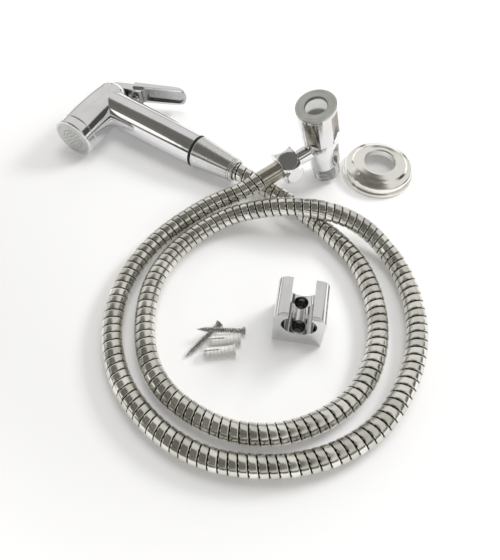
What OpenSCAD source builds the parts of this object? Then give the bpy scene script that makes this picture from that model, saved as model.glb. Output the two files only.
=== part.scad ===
// Bathroom hand spray kit laid out on a table: trigger handset, ribbed metal hose, angle valve,
// wall flange, wall holder, screws and wall plugs. Millimetres, +Z up, the table is z = 0.

/* [Handset] */
// Outer radius of the ring round the spray face
face_r = 15.5; // [14.5:0.1:16.5]
// Length of the head from the handle's axis to the spray face
head_len = 44.5; // [42:0.5:50]
// Radius of the head where its domed back begins
head_back_r = 14.4; // [14:0.1:15]
// Greatest radius of the head, which is slightly barrelled
head_mid_r = 15.9; // [15.6:0.1:16.4]
// Distance that the head runs on behind the handle's axis
head_back = 19; // [18.6:0.2:20]
// Length of the face ring
face_ring_len = 8; // [7:0.5:10]
// Angle between the head and the handle
head_angle = 83; // [78:1:95]
// Greatest radius of the handle
handle_r = 13.5; // [13:0.1:14]
// Length of the handle from the head's axis to the seam
handle_len = 90.7; // [85:0.5:100]
// Radius of the handle at the seam
seam_r = 12.4; // [12:0.1:12.8]
// Number of spray holes in each ring, from the middle outwards
jet_rings = [6, 12, 16];
// Distance between the rings of spray holes
jet_step = 2.6; // [2:0.1:3]
// Radius of a spray hole
jet_r = 0.5; // [0.3:0.05:0.7]

/* [Trigger] */
// Angle between the open lever and the handle
lever_open = 26; // [24:1:28]
// Travel of the lever, in degrees
lever_travel = 11; // [8:1:11]
// Width of the lever's thumb plate
lever_w = 15.4; // [15:0.1:20]
// Width of the lever's tongue between the ears
tongue_w = 11.8; // [10:0.2:12]
// Length of the lever from the hinge pin to its tip
lever_len = 57.4; // [52:0.2:64]
// Depth of the lever's side walls
lever_depth = 4; // [3:0.1:5]
// Wall of the lever
lever_wall = 2; // [1.5:0.1:2.2]
// Radius of the hinge pin
pin_r = 1.6; // [1.2:0.1:2]

/* [Spray valve] */
// Place of the valve stem along the handle
stem_x = 14; // [13.6:0.1:14.4]
// Radius of the stem
stem_r = 1.8; // [1.5:0.1:2]
// Radius of the guide bush
guide_r = 5; // [4.6:0.1:5.2]
// Mean radius of the return spring
spring_r = 3.3; // [3:0.1:3.6]
// Wire thickness of the return spring
spring_wire = 0.8; // [0.6:0.1:1]
// Number of turns of the return spring
spring_turns = 5; // [4:1:6]

/* [Threads] */
// Radius over a half inch pipe thread
thread_r = 10.4; // [10.2:0.05:10.5]
// Radial clearance of parts that turn on one another
run_gap = 0.05; // [0.03:0.01:0.09]
// Clearance between pieces that don't touch
gap = 0.3; // [0.2:0.05:0.4]

/* [Hose] */
// Outer radius of the hose
hose_r = 6.5; // [6.2:0.1:6.6]
// Depth of the groove between two ribs
rib_depth = 0.8; // [0.5:0.1:1]
// Radius of the hose's bore
hose_bore_r = 4.6; // [4.5:0.05:4.9]
// Ribs between two points of the route
ribs_per_run = 4; // [3:1:4]
// Length of the cone nut
cone_len = 34.8; // [33:0.2:38]
// Radius of the cone nut at its small end
cone_end_r = 8.8; // [8.4:0.1:9.4]

/* [Hexagon nut] */
// Width across the flats
hex_af = 24; // [23.6:0.2:25]
// Radius of the ball that the nut is turned to
hex_ball_r = 13.4; // [13.2:0.1:13.8]
// Length of the nut
hex_len = 13; // [12.6:0.1:14]
// Length of the plain ferrule beyond the nut
ferrule_len = 15.2; // [13:0.2:18]
// Radius of the plain ferrule
ferrule_r = 6.6; // [6.5:0.05:6.8]

/* [Angle valve] */
// Radius of the valve's body
valve_r = 11.75; // [11.5:0.05:12.5]
// Length of the threaded inlet
inlet_len = 16; // [14:0.5:18]
// Length of the valve's body
valve_len = 26; // [25:0.5:28]
// Height of the outlet's axis above the foot of the inlet
outlet_h = 32.2; // [31:0.1:33]
// Radius of the outlet's neck
neck_r = 5.5; // [4.8:0.1:6]
// Distance from the valve's axis to the hexagon nut
neck_reach = 22.2; // [21:0.1:26]
// Radius of the knob
knob_r = 13.4; // [13:0.1:14]
// Length of the knob with its ring
knob_len = 27; // [26:0.5:32]
// Number of scoops round the knob
scoops = 4; // [3:1:5]
// Radius of a scoop
scoop_r = 8; // [7:0.5:10]
// Depth of a scoop
scoop_depth = 3.2; // [2.5:0.1:4.8]
// Radius of the dished button in the knob's top
button_r = 7.6; // [7:0.1:8]

/* [Wall flange] */
// Outer radius of the wall flange
flange_r = 26.6; // [25:0.1:30]
// Radius of the hole for the pipe
flange_hole_r = 11.4; // [10.7:0.1:12]
// Height of the wall flange
flange_h = 12; // [10:0.5:14]
// Thickness of the wall flange's sheet
flange_wall = 1.4; // [1:0.1:1.8]

/* [Wall holder] */
// Width of the holder
holder_w = 30.4; // [28:0.1:32]
// Length of the holder along its cradle
holder_l = 26; // [25:0.5:30]
// Height of the holder above the wall
holder_h = 33; // [32:0.5:36]
// Width of the slot that lets the hose in
slot_w = 13.4; // [13.2:0.1:15]
// Height of the cradle's axis
cradle_h = 22; // [21:0.5:23]
// Radius of the cradle at its wide end
cradle_r = 10.5; // [10.2:0.1:11.5]
// Radius of the cradle at its narrow end
cradle_end_r = 9; // [8.6:0.1:9.4]
// Distance between the screw holes
hole_step = 16; // [14:0.5:16.5]
// Radius of a screw hole
hole_r = 2.3; // [2.2:0.05:2.6]

/* [Screws and plugs] */
// Length of a screw
screw_len = 30; // [24:1:32]
// Radius of a screw's shank
screw_r = 1.75; // [1.5:0.05:2]
// Radius of a screw's head
screw_head_r = 2.8; // [2.6:0.1:4]
// Length of a wall plug
plug_len = 19; // [18:0.5:22]
// Radius of a wall plug
plug_r = 3; // [2.8:0.1:3.2]
// How far a wall plug's rim stands out
plug_rim = 0.6; // [0.4:0.1:1]

/* [Hidden] */
$fn = 96;

chrome = [0.80, 0.81, 0.82];
steel = [0.66, 0.65, 0.62];
satin = [0.55, 0.56, 0.54];
black = [0.08, 0.08, 0.08];
brass = [0.80, 0.66, 0.35];
ceramic = [0.93, 0.93, 0.90];
nylon = [0.93, 0.92, 0.84];

// Places on the table; the kit's middle is the origin
kit_centre = [-0.35, -6.93];
handset_spot = [-104.2, 89.7];
handset_turn = -33.3;
handset_dip = 2;
valve_spot = [70.6, 28.7];
valve_turn = 207.3;
valve_lean = 15.5;
flange_spot = [110.1, 30.4];
holder_spot = [42.3, -100.6];
holder_turn = -9.5;
// Screws and plugs: place of the head or rim, turn about Z, and rise towards the tip
screws_at = [[8.9, -106.9, 182, 9.2], [-6.7, -101.7, 227.5, -2.3]];
plugs_at = [[6.2, -112.6, 184], [3.2, -119.8, 186]];
// Route of the hose between its straight ends, from the hexagon nut to the cone nut
route_points = [[-13.5, -11.5, 12.5], [-34, -24, 8.5], [-52, -41, 7], [-65, -62, 6.5], [-72, -86, 6.5],
    [-72, -111, 6.5], [-65, -135, 6.5], [-52, -155, 6.5], [-33, -172, 6.5], [-11, -183, 6.5],
    [13, -187, 6.5], [38, -186, 6.5], [62, -179, 6.5], [83, -166, 6.5], [99, -147, 6.5],
    [110, -125, 6.5], [115, -100, 6.5], [113.5, -76, 6.5], [106, -53.5, 8], [90.5, -35.5, 13.5],
    [68, -26, 19.5], [44, -22, 20.5], [19, -20, 16], [-4, -23, 10.5], [-25, -35, 7], [-41, -53, 6.5],
    [-51, -75, 6.5], [-53, -100, 6.5], [-49, -125, 6.5], [-37, -146, 6.5], [-17, -161, 6.5],
    [6, -170, 6.5], [31, -170, 6.5], [54, -162, 6.5], [74, -147, 6.5], [86, -126, 6.5],
    [91, -101, 6.5], [89, -77, 6.5], [82, -55, 6.5], [69, -36.5, 6.5], [54, -20, 6.5], [38, -4, 6.5],
    [20.8, 8.8, 7.8]];

// Handset, along the head: from the handle's axis towards the face
handset_up = head_mid_r + 0.2;
ring_from = head_len - face_ring_len;
spigot_r = 13.5;
spigot_to = ring_from + face_ring_len / 2;
plate_t = 2;
plate_to = head_len - 0.1;
plate_from = plate_to - plate_t;
plate_step = 0.8;
plate_r = 13.3;
face_edge_r = 1.2;
gasket_from = spigot_to + 0.1;
head_bore_r = 11;
head_bore_from = 24;
duct_r = 3.5;
back_round_r = 13;
head_mid = 22;
// Trigger
pivot = [-2, 14];
hub_r = 5.5;
crown_at = [-1, 5];
crown_r = 3;
nose_at = [19, 1.3];
nose_r = 3;
plate_y = 8;
lever_tip_r = lever_w / 2 - 0.3;
wing_from = head_back_r - 0.8;
pin_from = -11.2;
pin_to = 10;
ear_gap = 0.4;
slot_slope = 28;
// Spray valve, across the handle
guide_top = 12.6;
guide_bottom = 1;
guide_neck = 8;
guide_duct_r = 3;
port_r = 1.5;
port_y = 5;
chamber_floor = -10;
poppet_r = 4.4;
poppet_t = 1.6;
seal_t = 1.5;
nose_angle = atan2(nose_at[1], nose_at[0]) + lever_open;
stem_top = pivot[1] + norm(nose_at) * sin(nose_angle) - nose_r - gap;
stem_cap_t = 1.5;
stem_cap_r = 3;
seal_top = guide_bottom - 0.02;
poppet_top = seal_top - seal_t;
poppet_bottom = poppet_top - poppet_t;
water_r = 4;
// Seam, cone nut and what it holds, along the handle
gasket_t = 1.5;
cone_from = handle_len + gasket_t + 0.1;
cone_to = cone_from + cone_len;
spigot_end = handle_len + 9.6;
cone_thread_to = spigot_end + 0.2;
flange_r_in = 9.2;
insert_bore_r = 3;
barb_r = 4;
cone_flange_from = spigot_end + 2.2;
cone_flange_to = cone_flange_from + 1.8;
cone_shoulder = cone_flange_to + gap;
cone_hole_r = hose_r + 0.6;
hose_from_cone = cone_flange_to + 1.2;
barb_len = 12;
straight = 2 * hose_r;
// Hexagon nut and ferrule, along the outlet
nut_from = neck_reach;
nut_to = nut_from + hex_len;
outlet_from = nut_from + 0.4;
outlet_to = outlet_from + 6.8;
hex_flange_from = outlet_to + 2.1;
hex_flange_to = hex_flange_from + 1.8;
hex_shoulder = hex_flange_to + gap;
hex_bore_r = thread_r + run_gap;
hex_flange_r = 9.9;
ferrule_to = nut_to + ferrule_len;
// Angle valve, up its axis
body_top = inlet_len + valve_len;
cavity_r = 8.5;
cavity_floor = body_top - 16;
seal_ring_t = 1;
cartridge_from = cavity_floor + seal_ring_t + 0.1;
cartridge_neck = 4;
cartridge_neck_r = 6;
disc_r = 6.4;
disc_t = 2;
disc_floor = cartridge_from + 0.5;
disc_seat = disc_floor + disc_t + 0.02;
spindle_foot = disc_seat + disc_t + 0.05;
spindle_foot_t = 2;
spindle_r = 3.5;
knob_from = body_top + 0.4;
knob_to = knob_from + knob_len;
ring_t = 1.6;
cap_t = 1.4;
button_floor = knob_to - 6;
spindle_to = button_floor - 3;
screw_hole_r = 2;
knob_screw_len = 8;
scoop_turn = 37;
washer_hole_r = 6;
port_chamber_r = 5;
window_r = 2.2;
lift = thread_r * sin(valve_lean);
// Wall holder
holder_round_r = 6;
screw_sink_r = 4.2;
screw_sink_floor = 5;

// Point (x, y) turned by a degrees about the origin
function turned(p, a) = [p[0] * cos(a) - p[1] * sin(a), p[0] * sin(a) + p[1] * cos(a)];
// Points of an arc about c
function arc(c, r, from, to, n) = [for (i = [0 : n]) c + r * [cos(from + (to - from) * i / n),
    sin(from + (to - from) * i / n)]];

module on_table(spot) { translate([spot[0] - kit_centre[0], spot[1] - kit_centre[1], 0]) children(); }

// ---- Handset: the handle runs along +X, the lever side is +Y, and it lies on its side
module place_handset() {
    on_table(handset_spot) translate([0, 0, handset_up]) rotate([0, 0, handset_turn])
        rotate([0, handset_dip, 0]) children();
}
module along_head() { rotate([0, 0, -head_angle]) rotate([0, 90, 0]) children(); }
module along_handle() { rotate([0, 90, 0]) children(); }
module across_handle() { translate([stem_x, 0, 0]) rotate([-90, 0, 0]) children(); }
module tube(r_out, r_in, from, to) {
    translate([0, 0, from]) difference() {
        cylinder(r = r_out, h = to - from);
        translate([0, 0, -1]) cylinder(r = r_in, h = to - from + 2);
    }
}

function handle_radius(x) = handle_r - (handle_r - seam_r) * pow(x / handle_len, 3);

function head_radius(t) = head_mid_r
    - (head_mid_r - head_back_r) * pow((t - head_mid) / (head_mid + head_back - back_round_r), 2);
module head_form() {
    round_c = [head_back_r - back_round_r, -head_back + back_round_r];
    steps = 10;
    barrel = [for (i = [1 : steps]) let (t = round_c[1] + (ring_from - 0.4 - round_c[1]) * i / steps)
        [head_radius(t), t]];
    rotate_extrude() polygon(concat(
        [[0, -head_back]],
        arc(round_c, back_round_r, -90, 0, 12),
        barrel,
        [[face_r - 0.3, ring_from], [spigot_r, ring_from], [spigot_r, spigot_to], [0, spigot_to]]));
}
module handle_form() {
    steps = 14;
    rotate_extrude() polygon(concat([[0, 0]],
        [for (i = [0 : steps]) [handle_radius(handle_len * i / steps), handle_len * i / steps]],
        [[thread_r, handle_len], [thread_r, spigot_end], [0, spigot_end]]));
}
// The space that the lever's tongue sweeps between the ears
module tongue_space() {
    low = slot_slope;
    space_r = norm(crown_at) + crown_r + ear_gap;
    linear_extrude(height = tongue_w + 2 * ear_gap, center = true) union() {
        translate(pivot) circle(r = hub_r + ear_gap);
        intersection() {
            translate(pivot) circle(r = space_r);
            translate([pivot[0] - space_r, pivot[1] - 1]) square([2 * space_r, 2 * space_r]);
        }
        polygon([pivot, pivot + turned([hub_r + ear_gap, 0], low - 90),
            pivot + turned([hub_r + ear_gap, 0], low - 90) + turned([40, 0], low), pivot + [0, 40]]);
    }
}
module handset_body() {
    color(chrome) place_handset() difference() {
        union() {
            along_head() head_form();
            along_handle() handle_form();
        }
        tongue_space();
        translate([pivot[0], pivot[1], pin_from - 5])
            cylinder(r = pin_r + 0.02, h = pin_to - pin_from + 5.1);
        along_head() translate([0, 0, head_bore_from]) cylinder(r = head_bore_r, h = head_len);
        along_head() cylinder(r = duct_r, h = head_len);
        // valve chamber, the duct from its port to the head, and the water way from the hose
        across_handle() translate([0, 0, chamber_floor]) cylinder(r = guide_r + 0.02, h = 40);
        translate([0, port_y, 0]) along_handle() cylinder(r = port_r + 0.5, h = stem_x);
        translate([0, port_y, 0]) rotate([90, 0, 0]) cylinder(r = port_r + 0.5, h = port_y);
        translate([stem_x, -4, 0]) along_handle() cylinder(r = water_r, h = 12);
        translate([stem_x + 8, 0, 0]) along_handle() cylinder(r = water_r, h = handle_len);
    }
}
module face_ring() {
    round_c = [face_r - face_edge_r, head_len - face_edge_r];
    color(chrome) place_handset() along_head() rotate_extrude() polygon(concat(
        [[spigot_r + 0.05, ring_from + 0.05], [face_r - 0.5, ring_from + 0.05], [face_r, ring_from + 0.55]],
        arc(round_c, face_edge_r, 0, 90, 6),
        [[plate_r - 0.3, head_len], [plate_r - 0.3, plate_to - plate_step],
            [plate_r + 0.1, plate_to - plate_step]],
        [[plate_r + 0.1, gasket_from], [spigot_r + 0.05, gasket_from]]));
}
module spray_plate() {
    color(steel) place_handset() along_head() difference() {
        union() {
            translate([0, 0, plate_from]) cylinder(r = plate_r, h = plate_t - plate_step - 0.02);
            translate([0, 0, plate_from]) cylinder(r = plate_r - 0.4, h = plate_t);
        }
        for (ring = [0 : len(jet_rings) - 1], i = [0 : jet_rings[ring] - 1])
            rotate([0, 0, 360 / jet_rings[ring] * i + 7 * ring])
                translate([jet_step * (ring + 1), 0, plate_from - 1])
                    cylinder(r = jet_r, h = plate_t + 2, $fn = 16);
    }
}
module plate_gasket() {
    color(black) place_handset() along_head()
        tube(plate_r, head_bore_r - 1, gasket_from, plate_from - 0.02);
}

// ---- Trigger lever: drawn about its hinge pin with the thumb plate along +X
module band(c1, r1, c2, r2) {
    d = norm(c2 - c1);
    across = atan2(c2[1] - c1[1], c2[0] - c1[0]);
    open = acos((r1 - r2) / d);
    translate(c1) circle(r = r1);
    translate(c2) circle(r = r2);
    polygon([c1 + turned([r1, 0], across + open), c1 + turned([r1, 0], across - open),
        c2 + turned([r2, 0], across - open), c2 + turned([r2, 0], across + open)]);
}
module lever_outline(inset, from) {
    tip_c = lever_len - lever_tip_r;
    side = [[from, tongue_w / 2], [wing_from, tongue_w / 2], [wing_from + 1, lever_w / 2],
        [tip_c, lever_tip_r]];
    translate([0, 20, 0]) rotate([90, 0, 0]) linear_extrude(height = 40) union() {
        translate([tip_c, 0]) circle(r = lever_tip_r - inset);
        polygon(concat([for (p = side) [p[0], p[1] - inset]],
            [for (i = [3 : -1 : 0]) [side[i][0], inset - side[i][1]]]));
    }
}
module lever_side() {
    tip = lever_len;
    low = plate_y - lever_depth;
    polygon([[8, plate_y], [tip - 9, plate_y], [tip - 3.4, plate_y - 0.6], [tip + 1, plate_y - 2.2],
        [tip + 1, low + 0.3], [tip - 9, low], [tip - 27, low - 0.4], [20, low - 0.6],
        [wing_from, low - 1], [8, low]]);
}
module lever_tongue() {
    translate(nose_at) circle(r = nose_r);
    band([0, 0], hub_r, crown_at, crown_r);
    polygon([[0, 0], [hub_r - 0.2, 1.3], [nose_at[0] - 2.8, 0.4], nose_at, nose_at + [nose_r, 0],
        [nose_at[0] + 7, plate_y - lever_wall], [nose_at[0] + 7, plate_y], crown_at + [0, crown_r]]);
}
module trigger_lever() {
    color(chrome) place_handset()
        translate([pivot[0], pivot[1], 0]) rotate([0, 0, lever_open]) difference() {
        union() {
            intersection() {
                linear_extrude(height = lever_w, center = true) lever_side();
                lever_outline(0, 6);
                difference() {
                    translate([0, -30, -30]) cube([100, 60, 60]);
                    intersection() {
                        lever_outline(lever_wall, 6);
                        translate([6, plate_y - lever_wall - 40, -20]) cube([100, 40, 40]);
                    }
                }
            }
            linear_extrude(height = tongue_w, center = true) lever_tongue();
        }
        cylinder(r = pin_r + run_gap, h = 40, center = true);
    }
}
module trigger_pin() {
    color(steel) place_handset() translate([pivot[0], pivot[1], pin_from])
        cylinder(r = pin_r, h = pin_to - pin_from);
}

// ---- Spray valve under the lever
module valve_stem() {
    color(steel) place_handset() across_handle() union() {
        translate([0, 0, poppet_bottom]) cylinder(r = poppet_r, h = poppet_t);
        translate([0, 0, poppet_bottom]) cylinder(r = stem_r, h = stem_top - poppet_bottom);
        translate([0, 0, stem_top - stem_cap_t]) cylinder(r = stem_cap_r, h = stem_cap_t);
    }
}
module stem_seal() {
    color(black) place_handset() across_handle() tube(poppet_r, stem_r + 0.02, poppet_top + 0.01, seal_top);
}
module stem_guide() {
    color(chrome) place_handset() difference() {
        across_handle() difference() {
            translate([0, 0, guide_bottom]) cylinder(r = guide_r, h = guide_top - guide_bottom);
            translate([0, 0, guide_bottom - 1])
                cylinder(r = guide_duct_r, h = guide_neck - guide_bottom + 1);
            cylinder(r = stem_r + run_gap, h = 40);
        }
        translate([stem_x - guide_r - 1, port_y, 0]) along_handle() cylinder(r = port_r, h = guide_r + 1);
    }
}
// One unbroken wire with closed end turns, as a sweep of six-sided rings
module stem_spring() {
    from = chamber_floor + spring_wire / 2 + 0.05;
    to = poppet_bottom - spring_wire / 2 - 0.05;
    steps = 8;
    n = spring_turns * steps;
    sides = 6;
    mid = function(i) let (a = 360 * i / steps, t = i / n)
        [spring_r * cos(a), spring_r * sin(a), from + (to - from) * t];
    wire = spring_wire / 2;
    points = [for (i = [0 : n], k = [0 : sides - 1]) let (a = 360 * i / steps, b = 360 * k / sides)
        mid(i) + wire * [cos(b) * cos(a), cos(b) * sin(a), sin(b)]];
    faces = concat(
        [for (i = [0 : n - 1], k = [0 : sides - 1]) let (k2 = (k + 1) % sides)
            [i * sides + k, (i + 1) * sides + k, (i + 1) * sides + k2]],
        [for (i = [0 : n - 1], k = [0 : sides - 1]) let (k2 = (k + 1) % sides)
            [i * sides + k, (i + 1) * sides + k2, i * sides + k2]],
        [for (k = [1 : sides - 2]) [0, k, k + 1]],
        [for (k = [1 : sides - 2]) [n * sides, n * sides + k + 1, n * sides + k]]);
    color(steel) place_handset() across_handle() polyhedron(points, faces);
}

// ---- Seam and cone nut
module handle_gasket() {
    color(black) place_handset() along_handle()
        tube(seam_r - 0.3, thread_r + 0.02, handle_len, handle_len + gasket_t);
}
module cone_nut() {
    big_r = seam_r - 0.1;
    groove = 0.5;
    groove_at = cone_to - 4;
    slope = (big_r - cone_end_r) / (groove_at - cone_from - 1);
    grooves = [for (k = [0 : 1]) each let (z = groove_at + 1.6 * k)
        [[cone_end_r, z], [cone_end_r - groove, z], [cone_end_r - groove, z + 0.6], [cone_end_r, z + 0.6]]];
    color(chrome) place_handset() along_handle() rotate_extrude() polygon(concat(
        [[thread_r + run_gap, cone_from], [big_r - 0.5, cone_from], [big_r, cone_from + 1]],
        grooves,
        [[cone_end_r, cone_to - 0.5], [cone_end_r - 0.5, cone_to], [cone_hole_r, cone_to],
            [cone_hole_r, cone_shoulder], [flange_r_in + gap, cone_shoulder],
            [flange_r_in + gap, cone_thread_to],
            [thread_r + run_gap, cone_thread_to]]));
}
module cone_washer() {
    color(black) place_handset() along_handle()
        tube(flange_r_in, washer_hole_r - 1, spigot_end + 0.05, cone_flange_from - 0.05);
}
module cone_insert() {
    color(brass) place_handset() along_handle() difference() {
        union() {
            translate([0, 0, cone_flange_from])
                cylinder(r = flange_r_in, h = cone_flange_to - cone_flange_from);
            translate([0, 0, cone_flange_from]) cylinder(r = hose_r, h = hose_from_cone - cone_flange_from);
            translate([0, 0, cone_flange_from]) cylinder(r = barb_r, h = barb_len);
        }
        translate([0, 0, cone_flange_from - 1]) cylinder(r = insert_bore_r, h = barb_len + 2);
    }
}

// ---- Hose: a ribbed tube along one smooth line, its ends straight and square to insert and ferrule
function turn_z(p, a) = [p[0] * cos(a) - p[1] * sin(a), p[0] * sin(a) + p[1] * cos(a), p[2]];
function dip_y(p, a) = [p[0] * cos(a) + p[2] * sin(a), p[1], p[2] * cos(a) - p[0] * sin(a)];
function off_centre(p) = [p[0] - kit_centre[0], p[1] - kit_centre[1], p[2]];
function on_handset(x) = off_centre(turn_z(dip_y([x, 0, 0], handset_dip), handset_turn)
    + [handset_spot[0], handset_spot[1], handset_up]);
function on_outlet(x) = off_centre(turn_z(dip_y([x, 0, outlet_h], valve_lean), valve_turn)
    + [valve_spot[0], valve_spot[1], lift]);
out_dir = on_outlet(1) - on_outlet(0);
in_dir = on_handset(0) - on_handset(1);
hose_start = on_outlet(ferrule_to);
hose_end = on_handset(hose_from_cone);
bend_start = hose_start + out_dir * straight;
bend_end = on_handset(cone_to + 2);
stops = concat([bend_start], [for (p = route_points) off_centre(p)], [bend_end]);
function stop_slope(i) = i == 0 ? out_dir * norm(stops[1] - stops[0])
    : i == len(stops) - 1 ? in_dir * norm(stops[i] - stops[i - 1])
    : (stops[i + 1] - stops[i - 1]) / 2;
function on_curve(i, t) =
    (2 * t * t * t - 3 * t * t + 1) * stops[i] + (t * t * t - 2 * t * t + t) * stop_slope(i)
    + (3 * t * t - 2 * t * t * t) * stops[i + 1] + (t * t * t - t * t) * stop_slope(i + 1);
// Points along the whole line, n to each run between two stops
function line_points(n) = let (lead = norm(bend_start - hose_start), tail = norm(hose_end - bend_end),
    run = norm(stops[3] - stops[2]) / n, a = round(lead / run), b = round(tail / run)) concat(
    [for (k = [0 : a - 1]) hose_start + (bend_start - hose_start) * k / a],
    [for (i = [0 : len(stops) - 2], k = [0 : n - 1]) on_curve(i, k / n)],
    [for (k = [0 : b]) bend_end + (hose_end - bend_end) * k / b]);
function unit(v) = v / norm(v);
function heading(p, i) = i == 0 ? out_dir : i == len(p) - 1 ? in_dir : unit(p[i + 1] - p[i - 1]);
function hose_ring(p, i, r, sides) =
    let (d = heading(p, i), side = unit(cross([0, 0, 1], d)), up = cross(d, side))
    [for (k = [0 : sides - 1]) let (a = 360 * (k + 0.5) / sides) p[i] + r * (cos(a) * side + sin(a) * up)];
function skin(first, rings, sides, out) = [for (i = [0 : rings - 2], k = [0 : sides - 1], half = [0, 1])
    let (a = first + i * sides + k, b = first + i * sides + (k + 1) % sides, c = a + sides, d = b + sides,
        t = half == 0 ? [a, b, d] : [a, d, c]) out ? t : [t[0], t[2], t[1]]];
function end_face(outer, inner, sides, flip) = [for (k = [0 : sides - 1], half = [0, 1])
    let (k2 = (k + 1) % sides,
        t = half == 0 ? [outer + k, inner + k, inner + k2] : [outer + k, inner + k2, outer + k2])
        flip ? [t[0], t[2], t[1]] : t];
function length_of(p) = [for (i = 1, s = 0; i <= len(p);
    s = i < len(p) ? s + norm(p[i] - p[i - 1]) : s, i = i + 1) if (i == len(p)) s][0];
module hose() {
    sides = 8;
    ribs = line_points(2 * ribs_per_run);
    bore = line_points(2);
    m = len(ribs);
    n = len(bore);
    points = concat(
        [for (i = [0 : m - 1]) each hose_ring(ribs, i, i % 2 == 0 ? hose_r - rib_depth : hose_r, sides)],
        [for (i = [0 : n - 1]) each hose_ring(bore, i, hose_bore_r, sides)]);
    inner = m * sides;
    faces = concat(skin(0, m, sides, false), skin(inner, n, sides, true),
        end_face(0, inner, sides, true), end_face((m - 1) * sides, inner + (n - 1) * sides, sides, false));
    // least distance between two strands of the hose, less its thickness
    check = line_points(6);
    last = len(check) - 1;
    apart = min([for (i = [0 : last], j = [i + 14 : 1 : last]) norm(check[i] - check[j])]);
    echo(ribs = floor(m / 2), triangles = len(faces), least_gap = apart - 2 * hose_r,
        length = length_of(check));
    color(steel) polyhedron(points, faces);
}

// ---- Hexagon nut, ferrule and angle valve: the valve stands on its inlet and leans towards its outlet
module place_valve() {
    on_table(valve_spot) translate([0, 0, lift])
        rotate([0, 0, valve_turn]) rotate([0, valve_lean, 0]) children();
}
module along_outlet() { translate([0, 0, outlet_h]) rotate([0, 90, 0]) children(); }
module hex_ferrule() {
    color(steel) place_valve() along_outlet() difference() {
        union() {
            translate([0, 0, hex_flange_from])
                cylinder(r = hex_flange_r, h = hex_flange_to - hex_flange_from);
            translate([0, 0, hex_flange_from]) cylinder(r = ferrule_r, h = ferrule_to - hex_flange_from);
            translate([0, 0, hex_flange_from])
                cylinder(r = barb_r, h = ferrule_to + barb_len - hex_flange_from);
        }
        translate([0, 0, hex_flange_from - 1]) cylinder(r = insert_bore_r, h = 60);
    }
}
module hex_nut() {
    color(chrome) place_valve() along_outlet() difference() {
        intersection() {
            translate([0, 0, (nut_from + nut_to) / 2]) sphere(r = hex_ball_r, $fn = 128);
            translate([0, 0, nut_from]) cylinder(r = hex_af / 2 / cos(30), h = hex_len, $fn = 6);
        }
        translate([0, 0, nut_from - 1]) cylinder(r = hex_bore_r, h = hex_shoulder - nut_from + 1);
        translate([0, 0, nut_from]) cylinder(r = ferrule_r + 0.4, h = hex_len + 1);
    }
}
module hex_washer() {
    color(black) place_valve() along_outlet()
        tube(hex_flange_r, neck_r, outlet_to + 0.05, hex_flange_from - 0.05);
}
module valve_body() {
    edge = 0.6;
    color(chrome) place_valve() difference() {
        union() {
            rotate_extrude() polygon([[0, 0], [thread_r - 0.8, 0], [thread_r, 0.8], [thread_r, inlet_len],
                [valve_r - edge, inlet_len], [valve_r, inlet_len + edge], [valve_r, body_top - edge],
                [valve_r - edge, body_top], [0, body_top]]);
            along_outlet() cylinder(r = neck_r, h = outlet_to);
            along_outlet() translate([0, 0, outlet_from])
                cylinder(r = thread_r, h = outlet_to - outlet_from);
        }
        translate([0, 0, cavity_floor]) cylinder(r = cavity_r, h = valve_len);
        translate([0, 0, -1]) cylinder(r = washer_hole_r, h = cavity_floor + 2);
        along_outlet() cylinder(r = 3, h = outlet_to + 1);
    }
}
module cartridge_seal() {
    color(black) place_valve()
        tube(cavity_r - 0.1, washer_hole_r, cavity_floor + 0.05, cavity_floor + seal_ring_t);
}
module cartridge() {
    shell_r = cavity_r - 0.1;
    color(brass) place_valve() difference() {
        union() {
            translate([0, 0, cartridge_from]) cylinder(r = shell_r, h = body_top - cartridge_from);
            translate([0, 0, cartridge_from])
                cylinder(r = cartridge_neck_r, h = body_top - cartridge_from + cartridge_neck);
        }
        translate([0, 0, cartridge_from - 1])
            cylinder(r = port_chamber_r, h = disc_floor - cartridge_from + 2);
        translate([0, 0, disc_floor])
            cylinder(r = disc_r + 0.1, h = spindle_foot + spindle_foot_t + 0.1 - disc_floor);
        translate([0, 0, disc_floor]) cylinder(r = spindle_r + run_gap, h = knob_to);
        // side window over the outlet
        translate([0, 0, outlet_h]) rotate([0, 90, 0]) cylinder(r = window_r, h = valve_r);
    }
}
module half_ports() {
    for (a = [0, 180]) rotate([0, 0, a]) translate([disc_r / 2, 0, -1])
        cylinder(r = disc_r * 0.3, h = disc_t + 2, $fn = 32);
}
module disc_fixed() {
    color(ceramic) place_valve() translate([0, 0, disc_floor]) difference() {
        cylinder(r = disc_r, h = disc_t);
        half_ports();
    }
}
module disc_moving() {
    color(ceramic) place_valve() translate([0, 0, disc_seat]) difference() {
        cylinder(r = disc_r, h = disc_t);
        rotate([0, 0, 90]) half_ports();
    }
}
module spindle() {
    color(brass) place_valve() difference() {
        union() {
            translate([0, 0, spindle_foot]) cylinder(r = disc_r - 0.2, h = spindle_foot_t);
            translate([0, 0, spindle_foot]) cylinder(r = spindle_r, h = spindle_to - spindle_foot);
        }
        translate([0, 0, spindle_to - knob_screw_len]) cylinder(r = screw_hole_r + 0.05, h = 20);
    }
}
module knob() {
    scoop_top = knob_to - ring_t - cap_t - 0.6;
    color(chrome) place_valve() difference() {
        translate([0, 0, knob_from]) cylinder(r = knob_r, h = knob_len - ring_t);
        translate([0, 0, knob_from - 1]) cylinder(r = cartridge_neck_r + 0.4, h = cartridge_neck + 2);
        translate([0, 0, knob_from - 1]) cylinder(r = spindle_r + 0.02, h = spindle_to - knob_from + 1.05);
        translate([0, 0, knob_from]) cylinder(r = screw_hole_r + 0.3, h = knob_len);
        translate([0, 0, button_floor]) cylinder(r = button_r + 0.05, h = 20);
        for (i = [0 : scoops - 1]) rotate([0, 0, scoop_turn + 360 / scoops * i])
            translate([knob_r - scoop_depth + scoop_r, 0, knob_from - 1])
                cylinder(r = scoop_r, h = scoop_top - knob_from + 1);
    }
}
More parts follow.
